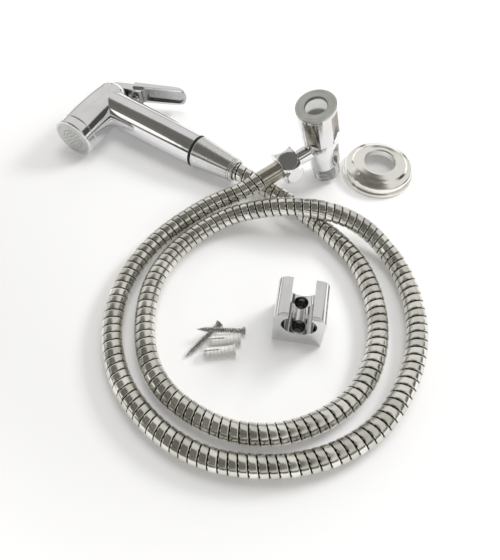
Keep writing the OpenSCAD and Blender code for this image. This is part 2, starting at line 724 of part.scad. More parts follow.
module knob_ring() {
    color(satin) place_valve() tube(knob_r + 0.1, button_r + 0.05, knob_to - ring_t + 0.01, knob_to);
}
module knob_button() {
    dish_r = 22;
    color(chrome) place_valve() difference() {
        translate([0, 0, knob_to - 3]) cylinder(r = button_r, h = 2.7);
        translate([0, 0, knob_to + dish_r - 1.8]) sphere(r = dish_r, $fn = 128);
    }
}
module knob_screw() {
    color(steel) place_valve() union() {
        translate([0, 0, spindle_to - knob_screw_len + 1])
            cylinder(r = screw_hole_r, h = knob_screw_len + 3);
        translate([0, 0, button_floor + 0.02]) cylinder(r = 3.6, h = 2);
    }
}

// ---- Wall pieces
module wall_flange() {
    w = flange_wall;
    lip = 3;
    side_r = flange_r - 1.4;
    ledge_r = flange_r - 5.6;
    ledge_h = flange_h - 3;
    plateau_r = ledge_r - 1.6;
    collar = 5;
    edge = 2;
    color(chrome) on_table(flange_spot) rotate_extrude() polygon(concat(
        [[flange_r - w, 0], [flange_r, 0], [flange_r, lip - 1]],
        arc([flange_r - 0.9, lip - 0.9], 0.9, 0, 90, 4),
        [[side_r, lip]],
        arc([side_r - edge, ledge_h - 0.8 - edge], edge, 0, 80, 6),
        [[ledge_r, ledge_h], [plateau_r + 0.6, ledge_h + 0.9], [plateau_r, ledge_h + 1.5],
            [plateau_r - 1.2, ledge_h + 1.9], [flange_hole_r + 3, flange_h - 0.1]],
        arc([flange_hole_r + 1, flange_h - 1], 1, 90, 180, 5),
        [[flange_hole_r, flange_h - collar], [flange_hole_r + w, flange_h - collar],
            [flange_hole_r + w, flange_h - w], [plateau_r - 1.2, ledge_h + 1.9 - w],
            [plateau_r - w, ledge_h + 0.5 - w / 2], [ledge_r - w, ledge_h - w]],
        [[side_r - w - 1, ledge_h - 0.8 - w], [side_r - w, ledge_h - 0.8 - edge], [side_r - w, lip - w],
            [flange_r - w, lip - w]]));
}
module wall_holder() {
    r = holder_round_r;
    chamfer = 1.2;
    color(chrome) on_table(holder_spot) rotate([0, 0, holder_turn]) difference() {
        translate([0, holder_l / 2, 0]) rotate([90, 0, 0]) linear_extrude(height = holder_l) union() {
            translate([-holder_w / 2, 0]) square([holder_w, holder_h - r]);
            translate([-holder_w / 2 + r, 0]) square([holder_w - 2 * r, holder_h]);
            for (s = [-1, 1]) translate([s * (holder_w / 2 - r), holder_h - r]) circle(r = r);
        }
        // slot for the hose, and the tapered cradle for the cone nut
        translate([-slot_w / 2, -holder_l, cradle_h]) cube([slot_w, 2 * holder_l, holder_h]);
        translate([0, -holder_l / 2, cradle_h]) rotate([-90, 0, 0])
            cylinder(r1 = cradle_r, r2 = cradle_end_r, h = holder_l);
        translate([0, -holder_l / 2 - 1, cradle_h]) rotate([-90, 0, 0]) cylinder(r = cradle_r, h = 1.5);
        translate([0, holder_l / 2 - 0.5, cradle_h]) rotate([-90, 0, 0]) cylinder(r = cradle_end_r, h = 2);
        for (s = [-1, 1]) translate([0, s * hole_step / 2, -1]) {
            cylinder(r = hole_r, h = 20);
            translate([0, 0, screw_sink_floor + 1])
                cylinder(r = screw_sink_r, h = cradle_h - screw_sink_floor);
        }
        // bevelled front ends of the two walls
        translate([0, -holder_l / 2, holder_h]) rotate([45, 0, 0])
            cube([holder_w + 2, 2 * chamfer, 2 * chamfer], center = true);
    }
}
// A countersunk screw along +X from its head
module wood_screw() {
    rotate([0, 90, 0]) rotate_extrude() polygon([[0, 0], [screw_head_r, 0], [screw_head_r, 0.5],
        [screw_r, 2.2], [screw_r, screw_len - 5], [0.2, screw_len], [0, screw_len]]);
}
module wall_screws() {
    // the first screw lies over the second
    color(steel) on_table([0, 0]) union() for (s = screws_at)
        translate([s[0], s[1], screw_head_r + 0.03])
            rotate([0, 0, s[2]]) rotate([0, -s[3], 0]) wood_screw();
}
module wall_plug() {
    rib = 0.35;
    ribs = 6;
    shape = [for (i = [0 : ribs - 1]) each let (step = (plug_len - 6) / ribs, z = 4 + step * i)
        [[plug_r, z], [plug_r - rib, z + 0.1], [plug_r, z + step]]];
    rotate([0, 90, 0]) difference() {
        rotate_extrude() polygon(concat(
            [[1.3, 0], [plug_r + plug_rim, 0], [plug_r + plug_rim, 0.8], [plug_r, 1.2]], shape,
            [[plug_r - 0.8, plug_len], [0.8, plug_len]]));
        translate([-5, -0.4, plug_len / 2]) cube([10, 0.8, plug_len]);
    }
}
module wall_plugs() {
    color(nylon) on_table([0, 0]) union() for (p = plugs_at)
        translate([p[0], p[1], plug_r + plug_rim + 0.01]) rotate([0, 0, p[2]]) wall_plug();
}

handset_body();
face_ring();
spray_plate();
plate_gasket();
trigger_lever();
trigger_pin();
valve_stem();
stem_seal();
stem_guide();
stem_spring();
handle_gasket();
cone_nut();
cone_washer();
cone_insert();
hose();
hex_ferrule();
hex_nut();
hex_washer();
valve_body();
cartridge();
cartridge_seal();
disc_fixed();
disc_moving();
spindle();
knob();
knob_ring();
knob_button();
knob_screw();
wall_flange();
wall_holder();
wall_screws();
wall_plugs();
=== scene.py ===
"""Bathroom hand spray kit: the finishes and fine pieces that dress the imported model, with its studio."""

import math

import bpy
import numpy as np
from mathutils import Matrix, Vector


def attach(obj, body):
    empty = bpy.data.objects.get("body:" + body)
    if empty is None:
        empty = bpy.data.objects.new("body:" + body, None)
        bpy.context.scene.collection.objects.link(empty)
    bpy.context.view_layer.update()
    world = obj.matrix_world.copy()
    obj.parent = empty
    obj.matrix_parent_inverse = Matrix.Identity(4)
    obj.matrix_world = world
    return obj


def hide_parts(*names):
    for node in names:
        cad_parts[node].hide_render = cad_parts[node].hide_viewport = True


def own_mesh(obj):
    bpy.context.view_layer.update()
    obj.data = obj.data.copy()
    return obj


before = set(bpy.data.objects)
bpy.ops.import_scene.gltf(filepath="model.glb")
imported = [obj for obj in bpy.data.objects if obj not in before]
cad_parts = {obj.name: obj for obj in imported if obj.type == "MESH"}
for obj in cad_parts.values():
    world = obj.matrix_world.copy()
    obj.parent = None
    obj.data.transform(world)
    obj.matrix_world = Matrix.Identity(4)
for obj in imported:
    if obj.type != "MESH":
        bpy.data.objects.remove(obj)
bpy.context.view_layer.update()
MM = 0.001

# sizes shared by several pieces, in millimetres
THREAD_R = 10.4
OUTLET_HEIGHT = 32.2
VALVE_R = 11.75
LEAN = 15.5


# ---------------------------------------------------------------- places on the table, in millimetres
def turn(degrees, axis):
    return Matrix.Rotation(math.radians(degrees), 4, axis)


TABLE = Matrix.Scale(MM, 4) @ Matrix.Translation((0.35, 6.93, 0))
HANDSET = TABLE @ Matrix.Translation((-104.2, 89.7, 16.1)) @ turn(-33.3, "Z") @ turn(2, "Y")
HEAD = HANDSET @ turn(-83, "Z") @ turn(90, "Y")
HANDLE = HANDSET @ turn(90, "Y")
STEM = HANDSET @ Matrix.Translation((14, 0, 0)) @ turn(-90, "X")
VALVE = (TABLE @ Matrix.Translation((70.6, 28.7, THREAD_R * math.sin(math.radians(LEAN)))) @ turn(207.3, "Z")
         @ turn(LEAN, "Y"))
OUTLET = VALVE @ Matrix.Translation((0, 0, OUTLET_HEIGHT)) @ turn(90, "Y")
HOLDER = TABLE @ Matrix.Translation((42.3, -100.6, 0)) @ turn(-9.5, "Z")
LEVER = HANDSET @ Matrix.Translation((-2, 14, 0)) @ turn(26, "Z")


def spot(place, *at):
    """A point of a piece's own frame, in the scene."""
    return place @ Vector(at)


def heading(place, *along):
    """A direction of a piece's own frame, in the scene."""
    return (place.to_3x3() @ Vector(along)).normalized()


# ---------------------------------------------------------------- camera
FOCAL_PIXELS, FRAME_PIXELS, SENSOR = 479, 560, 36
LOOKS_AT = (12, -68, 0)
STANDS_OFF = (0, -0.1690, 0.2705)


def aim(thing, at, target):
    thing.location = at
    thing.rotation_euler = (Vector(target) - Vector(at)).to_track_quat("-Z", "Y").to_euler()


def set_camera():
    lens = bpy.data.cameras.new("camera")
    lens.lens = FOCAL_PIXELS * SENSOR / FRAME_PIXELS
    lens.clip_start = 0.01
    camera = bpy.data.objects.new("camera", lens)
    bpy.context.scene.collection.objects.link(camera)
    middle = spot(TABLE, *LOOKS_AT)
    aim(camera, middle + Vector(STANDS_OFF), middle)
    bpy.context.scene.camera = camera


# ---------------------------------------------------------------- mesh making
def grid_mesh(name, rows, ends=False):
    """A smooth mesh from closed rows of points; ends closes the first and last row with a face."""
    rows = np.asarray(rows, float)
    n, m = rows.shape[:2]
    i = np.arange(n - 1)[:, None]
    k = np.arange(m)[None, :]
    a = i * m + k
    b = i * m + (k + 1) % m
    faces = np.stack([a, b, b + m, a + m], axis=-1).reshape(-1, 4).tolist()
    if ends:
        faces += [list(range(m))[::-1], list(range((n - 1) * m, n * m))]
    mesh = bpy.data.meshes.new(name)
    mesh.from_pydata(rows.reshape(-1, 3).tolist(), [], faces)
    mesh.validate()
    mesh.shade_smooth()
    return mesh


def placed(name, mesh, place):
    """The mesh as an object, moved from its own frame to its place."""
    mesh.transform(place)
    if place.determinant() < 0:
        mesh.flip_normals()
    mesh.update()
    piece = bpy.data.objects.new(name, mesh)
    bpy.context.scene.collection.objects.link(piece)
    return piece


def joined(name, meshes):
    """One mesh from several."""
    points, faces, base = [], [], 0
    for mesh in meshes:
        points += [tuple(v.co) for v in mesh.vertices]
        faces += [[base + v for v in p.vertices] for p in mesh.polygons]
        base += len(mesh.vertices)
    out = bpy.data.meshes.new(name)
    out.from_pydata(points, [], faces)
    out.validate()
    out.shade_smooth()
    return out


def crisp(mesh, degrees=35):
    """Keeps corners sharper than the given angle."""
    mesh.set_sharp_from_angle(angle=math.radians(degrees))
    return mesh


def lathe(name, profile, sides=96, wave=None):
    """Turned about Z from (radius, height) pairs; wave(angle, radius, height) may change the radius."""
    angles = np.linspace(0, 2 * math.pi, sides, endpoint=False)
    rows = []
    for r, z in profile:
        radii = np.array([wave(a, r, z) if wave else r for a in angles])
        rows.append(np.stack([radii * np.cos(angles), radii * np.sin(angles), np.full(sides, z)], axis=-1))
    return crisp(grid_mesh(name, rows))


def dense(profile, step):
    """The same profile with a point at least every step millimetres."""
    out = [profile[0]]
    for (r0, z0), (r1, z1) in zip(profile, profile[1:]):
        n = max(1, math.ceil(math.hypot(r1 - r0, z1 - z0) / step))
        out += [(r0 + (r1 - r0) * k / n, z0 + (z1 - z0) * k / n) for k in range(1, n + 1)]
    return out


# ---------------------------------------------------------------- hose
ROUTE = [(-13.5, -11.5, 12.5), (-34, -24, 8.5), (-52, -41, 7), (-65, -62, 6.5), (-72, -86, 6.5),
         (-72, -111, 6.5), (-65, -135, 6.5), (-52, -155, 6.5), (-33, -172, 6.5), (-11, -183, 6.5),
         (13, -187, 6.5), (38, -186, 6.5), (62, -179, 6.5), (83, -166, 6.5), (99, -147, 6.5),
         (110, -125, 6.5), (115, -100, 6.5), (113.5, -76, 6.5), (106, -53.5, 8), (90.5, -35.5, 13.5),
         (68, -26, 19.5), (44, -22, 20.5), (19, -20, 16), (-4, -23, 10.5), (-25, -35, 7), (-41, -53, 6.5),
         (-51, -75, 6.5), (-53, -100, 6.5), (-49, -125, 6.5), (-37, -146, 6.5), (-17, -161, 6.5),
         (6, -170, 6.5), (31, -170, 6.5), (54, -162, 6.5), (74, -147, 6.5), (86, -126, 6.5),
         (91, -101, 6.5), (89, -77, 6.5), (82, -55, 6.5), (69, -36.5, 6.5), (54, -20, 6.5), (38, -4, 6.5),
         (20.8, 8.8, 7.8)]
BAND = 5.2
# radius over one band: its raised lip, the wide face falling slightly away, and the seam
ALONG_BAND = np.array([0.00, 0.025, 0.07, 0.14, 0.50, 0.80, 0.87, 0.90, 0.925, 0.97, 1.0])
BAND_RADIUS = np.array([5.55, 6.30, 6.47, 6.50, 6.40, 6.27, 6.14, 5.90, 5.58, 5.50, 5.55])
SEAM_FROM, SEAM_DEPTH = 6.15, 0.45
# where the hose starts in the ferrule and leaves it, and where it enters the cone nut and ends in it
FERRULE_END, FERRULE_MOUTH = 50.4, 63.4
NUT_MOUTH, NUT_END = 129.1, 105.5
# points drawn over each leg of the route and over the two straight ends
LEG_POINTS, FERRULE_POINTS, NUT_POINTS = 24, 12, 20
# the evening out of the route: its step in metres; its reach, its spread and the ends left alone in steps
EVEN_STEP, EVEN_REACH, EVEN_SPREAD, EVEN_CLEAR = 0.001, 18, 7.0, 26.0


def hose_line(step):
    """Points along the hose's middle at even steps, in metres, from the ferrule to the cone nut's insert."""
    start, end = spot(OUTLET, 0, 0, FERRULE_END), spot(HANDSET, NUT_END, 0, 0)
    leave, enter = spot(OUTLET, 0, 0, FERRULE_MOUTH), spot(HANDSET, NUT_MOUTH, 0, 0)
    stops = [leave] + [spot(TABLE, *p) for p in ROUTE] + [enter]
    last = len(stops) - 1
    slopes = [heading(OUTLET, 0, 0, 1) * (stops[1] - stops[0]).length]
    slopes += [(stops[i + 1] - stops[i - 1]) / 2 for i in range(1, last)]
    slopes += [heading(HANDSET, -1, 0, 0) * (stops[last] - stops[last - 1]).length]
    line = [start.lerp(leave, k / FERRULE_POINTS) for k in range(FERRULE_POINTS)]
    for i in range(last):
        for k in range(LEG_POINTS):
            t = k / LEG_POINTS
            line.append((2 * t**3 - 3 * t * t + 1) * stops[i] + (t**3 - 2 * t * t + t) * slopes[i]
                        + (3 * t * t - 2 * t**3) * stops[i + 1] + (t**3 - t * t) * slopes[i + 1])
    line += [enter.lerp(end, k / NUT_POINTS) for k in range(NUT_POINTS + 1)]
    line = np.array([tuple(p) for p in line])
    even = resampled(line, EVEN_STEP)
    # the real hose evens out what is left of the route's corners; its ends stay straight
    from_end = np.minimum(np.arange(len(even)), np.arange(len(even))[::-1])
    weight = np.clip(from_end / EVEN_CLEAR - 0.5, 0, 1)[:, None]
    reach = np.arange(-EVEN_REACH, EVEN_REACH + 1)
    kernel = np.exp(-0.5 * (reach / EVEN_SPREAD) ** 2)
    kernel /= kernel.sum()
    padded = np.pad(even, ((EVEN_REACH, EVEN_REACH), (0, 0)), mode="edge")
    eased = np.stack([np.convolve(padded[:, c], kernel, mode="valid") for c in range(3)], axis=-1)
    return resampled(even * (1 - weight) + eased * weight, step)


def resampled(line, step):
    """The same line with its points at even steps."""
    run = np.concatenate([[0], np.cumsum(np.linalg.norm(np.diff(line, axis=0), axis=1))])
    n = int(round(run[-1] / step))
    at = np.linspace(0, run[-1], n + 1)
    return np.stack([np.interp(at, run, line[:, c]) for c in range(3)], axis=-1)


def make_hose():
    """A strip-wound metal hose: one strip wound into wide bands that overlap at narrow seams."""
    samples = 14
    sides = 56
    line = hose_line(BAND * MM / samples)
    n = len(line)
    ahead = np.gradient(line, axis=0)
    ahead /= np.linalg.norm(ahead, axis=1)[:, None]
    side = np.cross(np.array([0, 0, 1.0]), ahead)
    side /= np.linalg.norm(side, axis=1)[:, None]
    up = np.cross(ahead, side)
    angles = np.linspace(0, 2 * math.pi, sides, endpoint=False)
    wound = np.arange(n)[:, None] / samples - angles[None, :] / (2 * math.pi)
    radius = np.interp(wound % 1.0, ALONG_BAND, BAND_RADIUS) * MM
    rows = (line[:, None, :] + radius[..., None] * (np.cos(angles)[None, :, None] * side[:, None, :]
            + np.sin(angles)[None, :, None] * up[:, None, :]))
    mesh = grid_mesh("ribbed_hose", rows, ends=True)
    mesh.flip_normals()
    crisp(mesh, 40)
    # how deep a point lies in a seam, for the seams' painted shade and their rougher surface
    low = mesh.attributes.new("groove", "FLOAT", "POINT")
    depth = np.clip((SEAM_FROM - radius / MM) / SEAM_DEPTH, 0, 1)
    low.data.foreach_set("value", depth.reshape(-1).astype(np.float32))
    tone = mesh.attributes.new("band", "FLOAT", "POINT")
    tone.data.foreach_set("value", wound.reshape(-1).astype(np.float32))
    piece = placed("ribbed_hose", mesh, Matrix.Identity(4))
    piece.data.materials.append(finishes["hose_steel"])
    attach(piece, "kit")
    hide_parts("hose")
    path = [tuple(p) for p in hose_line(0.006)]


# ---------------------------------------------------------------- finishes: shader maths as Python expressions
class Wire:
    """One socket of a finish; arithmetic on it adds Math nodes, or Vector Math nodes for a vector."""

    def __init__(self, sheet, socket, vector=False):
        self.sheet, self.socket, self.vector = sheet, socket, vector

    def _with(self, operation, a, b):
        if self.vector or getattr(a, "vector", False) or getattr(b, "vector", False):
            a, b = (x if isinstance(x, (Wire, tuple)) else (x, x, x) for x in (a, b))
            return self.sheet.add("VectorMath", {"operation": operation}, {0: a, 1: b}, vector=True)
        return self.sheet.add("Math", {"operation": operation}, {0: a, 1: b})

    def __add__(self, other):
        return self._with("ADD", self, other)

    def __sub__(self, other):
        return self._with("SUBTRACT", self, other)

    def __rsub__(self, other):
        return self._with("SUBTRACT", other, self)

    def __mul__(self, other):
        return self._with("MULTIPLY", self, other)

    def __pow__(self, other):
        return self._with("POWER", self, other)

    __radd__, __rmul__ = __add__, __mul__

    def call(self, operation, *others):
        return self.sheet.add("Math", {"operation": operation}, dict(enumerate((self,) + others)))

    def dot(self, other):
        return self.sheet.add("VectorMath", {"operation": "DOT_PRODUCT"}, {0: self, 1: other}, out="Value")

    def ease(self, low, high, bottom=0.0, top=1.0):
        """Smoothly from bottom to top as this goes from low to high."""
        return self.sheet.add("MapRange", {"interpolation_type": "SMOOTHSTEP"}, {
            "Value": self, "From Min": low, "From Max": high, "To Min": bottom, "To Max": top})

    def blend(self, below, above):
        """Colour: below where this is 0, above where it is 1."""
        return self.sheet.add("Mix", {"data_type": "RGBA"}, {"Factor": self, 6: below, 7: above},
                              out=2, vector=True)


class Sheet:
    """A node tree that a finish or the studio's light is written in."""

    def __init__(self, owner):
        owner.use_nodes = True
        self.tree = owner.node_tree
        self.tree.nodes.clear()

    def add(self, kind, settings=None, inputs=None, out=0, vector=False):
        node = self.tree.nodes.new("ShaderNode" + kind)
        for key, value in (settings or {}).items():
            setattr(node, key, value)
        for key, value in (inputs or {}).items():
            if isinstance(value, Wire):
                self.tree.links.new(value.socket, node.inputs[key])
            else:
                node.inputs[key].default_value = value
        return Wire(self, node.outputs[out] if len(node.outputs) else None, vector)

    def place(self):
        return self.add("TexCoord", out="Object", vector=True)

    def attribute(self, name):
        return self.add("Attribute", {"attribute_name": name}, out="Fac")

    def noise(self, where, scale, detail=3.0, rough=0.5):
        return self.add("TexNoise", {}, {
            "Vector": where, "Scale": scale, "Detail": detail, "Roughness": rough})

    def bump(self, height, depth, strength=1.0, normal=None):
        inputs = {"Height": height, "Distance": depth, "Strength": strength}
        if normal:
            inputs["Normal"] = normal
        return self.add("Bump", {}, inputs, vector=True)

    def edge(self, radius):
        """The normal of a corner that is rounded over by this radius."""
        return self.add("Bevel", {"samples": 6}, {"Radius": radius}, vector=True)

    def about(self, place, *along):
        """Distance along the axis through place's origin, and distance from it."""
        axis = heading(place, *along)
        u = axis.orthogonal().normalized()
        v = axis.cross(u)
        off = self.place() - tuple(spot(place, 0, 0, 0))
        a, b = off.dot(tuple(u)), off.dot(tuple(v))
        return off.dot(tuple(axis)), (a * a + b * b).call("SQRT")

    def local(self, place):
        """The three coordinates in a piece's own frame, in millimetres."""
        off = self.place() - tuple(spot(place, 0, 0, 0))
        axes = ((1, 0, 0), (0, 1, 0), (0, 0, 1))
        return [off.dot(tuple(heading(place, *axis))) * (1 / MM) for axis in axes]


def finish(name, build, **constants):
    """A material: build(sheet) gives the sockets that vary, constants are set on the shader."""
    material = bpy.data.materials.new(name)
    sheet = Sheet(material)
    inputs = dict(build(sheet))
    inputs.update({key.replace("_", " "): value for key, value in constants.items()})
    shader = sheet.add("BsdfPrincipled", {}, inputs)
    sheet.add("OutputMaterial", {}, {"Surface": shader})
    finishes[name] = material


def polished(tint, smudge=0.05, low=0.035, edge=0.00035):
    """Chrome plate on polished brass: slight waviness and haze, faint wipe marks and fine pits."""

    def build(s):
        where = s.place()
        haze = s.noise(where, 55.0, 4.0).ease(0.42, 0.72)
        wipe = s.noise(where * (1.0, 6.0, 1.0), 260.0, 2.0).ease(0.45, 0.8)
        wave = s.noise(where, 38.0, 1.0)
        pits = s.noise(where, 2600.0, 2.0)
        dull = tuple(c * 0.93 for c in tint[:3]) + (1.0,)
        return {
            "Base Color": haze.blend(tint, dull),
            "Roughness": low + haze * smudge + wipe * 0.02,
            "Normal": s.bump(wave + pits * 0.012, 0.00022, 1.0, s.edge(edge)),
        }

    return build


def duller_with_painted_shade(build, where, below, rough):
    """A finish whose recesses, where(sheet) is 1, are rougher and painted darker: painted shade, speckled by
    grain.
    """

    def both(s):
        look = build(s)
        mask = where(s)
        grain = s.noise(s.place(), 420.0, 4.0, 0.6)
        # the darker colour in the recesses is painted shade
        cast_and_painted_shade = grain.ease(0.3, 0.7).blend(tuple(c * 0.7 for c in below[:3]) + (1.0,), below)
        look["Base Color"] = mask.blend(look["Base Color"], cast_and_painted_shade)
        look["Roughness"] = look["Roughness"] + mask * (grain * 0.5 + 0.75) * rough
        return look

    return both


def under_lever(s):
    """The channel under the lever's plate, painted darker: partly its as-cast finish, partly painted shade;
    palest at its tip.
    """
    x, y, z = s.local(LEVER)
    channel = (1 - z.call("ABSOLUTE").ease(5.76, 5.86)) * (1 - y.ease(6.02, 6.1))
    return channel * x.ease(16.0, 19.0) * (1 - x.ease(16, 60) * 0.4)


def in_scoops(s):
    """The knob's side scoops, below the satin ring, where shade is painted."""
    x, y, z = s.local(VALVE)
    return (1 - (x * x + y * y).call("SQRT").ease(12.6, 13.1)) * (1 - z.ease(65.8, 66.2))


def in_screw_holes(s):
    """The holder's two sunk holes, 8 mm to each side of its middle, painted dark inside as shade."""
    x, y, _ = s.local(HOLDER)
    near, far = ((x * x + (y + at) ** 2.0).call("SQRT").ease(4.1, 4.35) for at in (8, -8))
    return 1 - near * far


def in_jets(s):
    """Below the spray plate's face: painted shade inside the jets."""
    _, _, z = s.local(HEAD)
    return 1 - z.ease(44.0, 44.3)


def turned(place, along, tint, pitch, depth=0.00003, rough=0.13):
    """Metal with the fine rings of a lathe tool about its axis."""

    def build(s):
        height, _ = s.about(place, *along)
        rings = (height * (2 * math.pi / pitch)).call("SINE")
        grain = s.noise(s.place(), 900.0, 3.0)
        dark = tuple(c * 0.86 for c in tint[:3]) + (1.0,)
        return {
            "Base Color": grain.ease(0.35, 0.7).blend(dark, tint),
            "Roughness": rough + grain * 0.08,
            "Normal": s.bump(rings * 0.5 + grain * 0.25, depth, 1.0, s.edge(0.0003)),
        }

    return build


def faced(place, along, tint, dark, pitch=0.00055, rough=0.36):
    """Satin metal with concentric tool marks round its axis."""

    def build(s):
        _, radius = s.about(place, *along)
        rings = (radius * (2 * math.pi / pitch)).call("SINE")
        band = s.noise(s.add("CombineXYZ", {}, {"X": radius * 900.0}, vector=True), 1.0, 4.0, 0.7)
        cloud = s.noise(s.place(), 120.0, 3.0)
        return {
            "Base Color": (band * 0.6 + cloud * 0.4).ease(0.3, 0.72).blend(dark, tint),
            "Roughness": rough + band * 0.12,
            "Normal": s.bump(rings * 0.3 + band, 0.00002, 1.0, s.edge(0.0003)),
        }

    return build


def hose_strip(s):
    """Drawn steel strip, each band its own tone, with painted shade in the seams."""
    where = s.place()
    groove = s.attribute("groove")
    band = s.attribute("band")
    each = s.add("TexWhiteNoise", {"noise_dimensions": "1D"}, {"W": band.call("FLOOR")}, out="Value")
    grain = s.noise(where, 700.0, 3.0, 0.6)
    cloud = s.noise(where, 60.0, 3.0)
    drawn = s.noise(s.add("CombineXYZ", {}, {"X": band * 60.0}, vector=True), 1.0, 3.0, 0.7)
    tone = (cloud * 0.45 + each * 0.3 + drawn * 0.25).ease(0.25, 0.75)
    steel = tone.blend((0.60, 0.585, 0.535, 1), (0.93, 0.915, 0.86, 1))
    return {
        # near black in the seams: painted shade
        "Base Color": groove.ease(0.05, 0.5).blend(steel, (0.02, 0.018, 0.015, 1)),
        "Roughness": 0.13 + grain * 0.10 + groove * 0.2,
        "Normal": s.bump(drawn * 0.6 + grain * 0.4, 0.000035),
    }


def rubber(s):
    """Black rubber with a little dust."""
    where = s.place()
    grain = s.noise(where, 1800.0, 3.0)
    dust = s.noise(where, 90.0, 3.0).ease(0.5, 0.8)
    return {"Base Color": dust.blend((0.012, 0.012, 0.013, 1), (0.04, 0.04, 0.04, 1)),
            "Roughness": 0.55 + grain * 0.2, "Normal": s.bump(grain, 0.00003)}


def brass(s):
    """Turned brass, unevenly tarnished."""
    where = s.place()
    cloud = s.noise(where, 80.0, 4.0)
    grain = s.noise(where, 1400.0, 2.0)
    return {"Base Color": cloud.ease(0.3, 0.7).blend((0.52, 0.36, 0.13, 1), (0.78, 0.60, 0.28, 1)),
            "Roughness": 0.22 + grain * 0.15, "Normal": s.bump(grain, 0.00002, 1.0, s.edge(0.0002))}


def fired(s):
    """Smooth white ceramic."""
    where = s.place()
    grain = s.noise(where, 2200.0, 2.0)
    cloud = s.noise(where, 130.0, 3.0)
    return {"Base Color": cloud.ease(0.3, 0.7).blend((0.86, 0.86, 0.82, 1), (0.93, 0.93, 0.90, 1)),
            "Roughness": 0.3 + grain * 0.15, "Normal": s.bump(grain, 0.00001)}


def moulded(s):
    """Pale moulded nylon."""
    where = s.place()
    grain = s.noise(where, 1500.0, 3.0)
    cloud = s.noise(where, 160.0, 3.0)
    return {"Base Color": cloud.ease(0.3, 0.75).blend((0.88, 0.87, 0.83, 1), (0.94, 0.935, 0.91, 1)),
            "Roughness": 0.38 + grain * 0.15, "Normal": s.bump(grain, 0.00004, 1.0, s.edge(0.0002))}


def zinc(s):
    """Zinc-plated steel with its crystal spangle."""
    where = s.place()
    cells = s.add("TexVoronoi", {}, {"Vector": where, "Scale": 900.0}, out="Color", vector=True)
    spangle = cells.dot((0.3, 0.4, 0.3))
    grain = s.noise(where, 1700.0, 3.0)
    return {"Base Color": spangle.ease(0.2, 0.8).blend((0.34, 0.33, 0.31, 1), (0.68, 0.665, 0.63, 1)),
            "Roughness": 0.24 + grain * 0.16, "Normal": s.bump(grain, 0.00003)}


finishes = {}


def make_finishes():
    finish("chrome", polished((0.80, 0.80, 0.81, 1)), Metallic=1.0)
    # the lever's channel: as-cast finish and painted shade
    finish("lever_chrome", duller_with_painted_shade(polished((0.78, 0.78, 0.79, 1), 0.08, 0.05), under_lever,
                                  (0.34, 0.34, 0.33, 1), 0.16), Metallic=1.0)
    # painted shade in the knob's scoops
    finish("knob_chrome", duller_with_painted_shade(polished((0.79, 0.79, 0.79, 1)), in_scoops, (0.40, 0.37, 0.33, 1), 0.10),
           Metallic=1.0)
    # painted shade inside the holder's screw holes
    finish("holder_chrome", duller_with_painted_shade(polished((0.76, 0.76, 0.76, 1), edge=0.0006), in_screw_holes,
                                   (0.16, 0.16, 0.15, 1), 0.10), Metallic=1.0)
    finish("flange_chrome", polished((0.93, 0.915, 0.865, 1), 0.05, 0.10, 0.0007), Metallic=1.0)
    finish("turned_chrome", turned(HANDLE, (0, 0, 1), (0.76, 0.76, 0.75, 1), 0.0008, 0.00006, 0.09),
           Metallic=1.0)
    finish("ferrule_steel", turned(OUTLET, (0, 0, 1), (0.66, 0.63, 0.56, 1), 0.0009, 0.00002),
           Metallic=1.0)
    finish("stem_steel", turned(STEM, (0, 0, 1), (0.62, 0.61, 0.58, 1), 0.0006), Metallic=1.0)
    finish("knob_satin", faced(VALVE, (0, 0, 1), (0.72, 0.74, 0.69, 1), (0.44, 0.46, 0.43, 1)), Metallic=1.0)
    plate = faced(HEAD, (0, 0, 1), (0.70, 0.70, 0.69, 1), (0.56, 0.56, 0.55, 1), 0.0007, 0.3)
    # painted shade inside the jets
    finish("face_steel", duller_with_painted_shade(plate, in_jets, (0.05, 0.05, 0.05, 1), 0.2), Metallic=1.0)
    finish("hose_steel", hose_strip, Metallic=1.0)
    finish("zinc_steel", zinc, Metallic=1.0)
    finish("rubber", rubber)
    finish("brass", brass, Metallic=1.0)
    finish("fired_ceramic", fired, Coat_Weight=0.3)
    finish("moulded_nylon", moulded)


NODE_FINISH = {
    "chrome": ["handset_body", "face_ring", "hex_nut", "knob_button", "valve_body"],
    "knob_chrome": ["knob"],
    "holder_chrome": ["wall_holder"],
    "flange_chrome": ["wall_flange"],
    "lever_chrome": ["trigger_lever"],
    "turned_chrome": ["cone_nut"],
    "ferrule_steel": ["hex_ferrule"],
    "knob_satin": ["knob_ring"],
    "face_steel": ["spray_plate"],
    "zinc_steel": ["trigger_pin", "stem_spring", "knob_screw", "wall_screws", "hose"],
    "rubber": ["plate_gasket", "stem_seal", "handle_gasket", "cone_washer", "hex_washer", "cartridge_seal"],
    "stem_steel": ["valve_stem", "stem_guide"],
    "brass": ["cone_insert", "cartridge", "spindle"],
    "fired_ceramic": ["disc_fixed", "disc_moving"],
    "moulded_nylon": ["wall_plugs"],
}


def dress_nodes():
    """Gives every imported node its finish."""
    for name, nodes in NODE_FINISH.items():
        for node in nodes:
            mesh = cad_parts[node].data
            if not mesh.materials:
                mesh.materials.append(finishes[name])
            for i in range(len(mesh.materials)):
                mesh.materials[i] = finishes[name]


# ---------------------------------------------------------------- fine pieces
PIPE_PITCH = 1.814
PIPE_DEPTH = 1.16
PIPE_RUN_OUT = 1.2
THREADED_R = 10.3
BODY_FROM, BODY_TO = 16.0, 42.0


def pipe_thread(from_z, to_z):
    """Radius change of a half inch pipe thread between two heights, running out at both ends."""

    def wave(angle, r, z):
        phase = (z / PIPE_PITCH - angle / (2 * math.pi)) % 1.0
        tooth = abs(phase - 0.5) * 2
        start, stop = ((z - from_z) / PIPE_RUN_OUT, (to_z - z) / PIPE_RUN_OUT)
        fade = min(1.0, max(0.0, start)) * min(1.0, max(0.0, stop))
        return r - PIPE_DEPTH * min(1.0, max(0.0, tooth * 1.3 - 0.15)) * fade

    return wave


